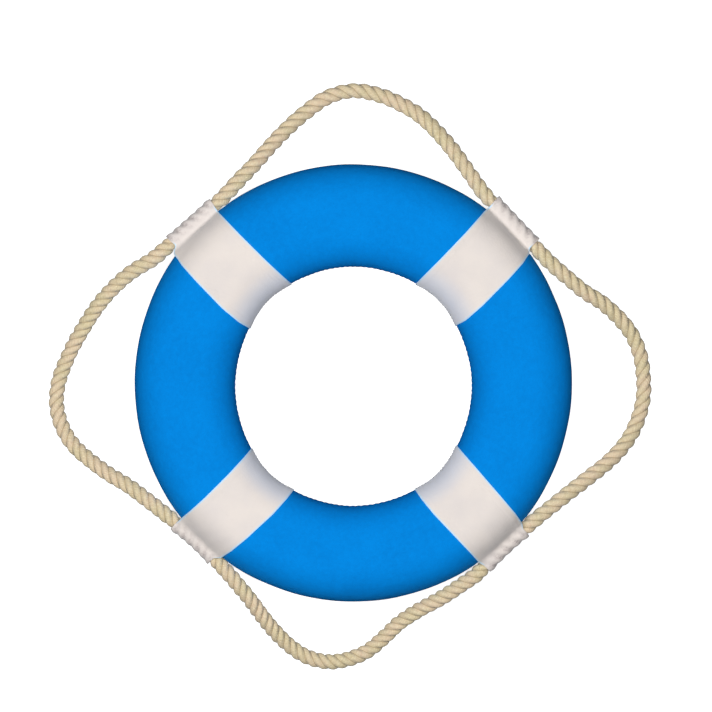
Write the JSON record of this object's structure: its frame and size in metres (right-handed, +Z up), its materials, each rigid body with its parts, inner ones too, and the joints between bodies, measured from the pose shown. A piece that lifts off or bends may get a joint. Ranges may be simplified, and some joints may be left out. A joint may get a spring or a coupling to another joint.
{
  "type": "ring lifebuoy",
  "caption": "Ring lifebuoy: a foam ring in blue cloth, crossed by white cloth bands, with a twisted grab rope that runs through the bands and stands free between them in bights that lift.",
  "frame": {"origin": "centre of the ring on the surface it lies on, under the middle of the hole", "axes": "+Z up along the ring's axis, out of its front; +Y towards its top, the side it is hung by; +X to the right of the front"},
  "size_m": [0.4845, 0.4715, 0.062],
  "materials": {
    "blue_canvas": "matte",
    "white_canvas": "matte",
    "cotton_rope": "matte",
    "blue_thread": "matte",
    "white_thread": "matte",
    "cloth_tape": "matte",
    "white_foam": "matte"
  },
  "bodies": {
    "ring": {"foam_core": "white_foam", "cover_top": "blue_canvas", "cover_left": "blue_canvas", "cover_bottom": "blue_canvas", "cover_right": "blue_canvas", "cover_seam_top": "blue_thread", "cover_seam_left": "blue_thread", "cover_seam_bottom": "blue_thread", "cover_seam_right": "blue_thread", "band_upper_right": "white_canvas", "band_upper_left": "white_canvas", "band_lower_left": "white_canvas", "band_lower_right": "white_canvas", "band_seam_upper_right": "white_thread", "band_seam_upper_left": "white_thread", "band_seam_lower_left": "white_thread", "band_seam_lower_right": "white_thread", "rope_run_upper_right": "cotton_rope", "rope_run_upper_left": "cotton_rope", "rope_run_lower_left": "cotton_rope", "rope_run_lower_right": "cotton_rope", "rope_joint_tape": "cloth_tape"},
    "bight_top": {"rope_bight_top": "cotton_rope"},
    "bight_left": {"rope_bight_left": "cotton_rope"},
    "bight_bottom": {"rope_bight_bottom": "cotton_rope"},
    "bight_right": {"rope_bight_right": "cotton_rope"}
  },
  "joints": [
    {"name": "top_bight_lift", "type": "hinge", "parent": "ring", "child": "bight_top", "pos_m": [-0.1035, 0.1505, 0.031], "axis": [1, 0.0096, 0], "range_deg": [0, 75]},
    {"name": "left_bight_lift", "type": "hinge", "parent": "ring", "child": "bight_left", "pos_m": [-0.148, -0.1095, 0.031], "axis": [-0.0596, 0.9982, 0], "range_deg": [0, 85]},
    {"name": "bottom_bight_lift", "type": "hinge", "parent": "ring", "child": "bight_bottom", "pos_m": [0.1005, -0.1545, 0.031], "axis": [-0.9998, -0.0177, 0], "range_deg": [0, 70]},
    {"name": "right_bight_lift", "type": "hinge", "parent": "ring", "child": "bight_right", "pos_m": [0.158, 0.0975, 0.031], "axis": [-0.0318, -0.9995, 0], "range_deg": [0, 85]}
  ]
}
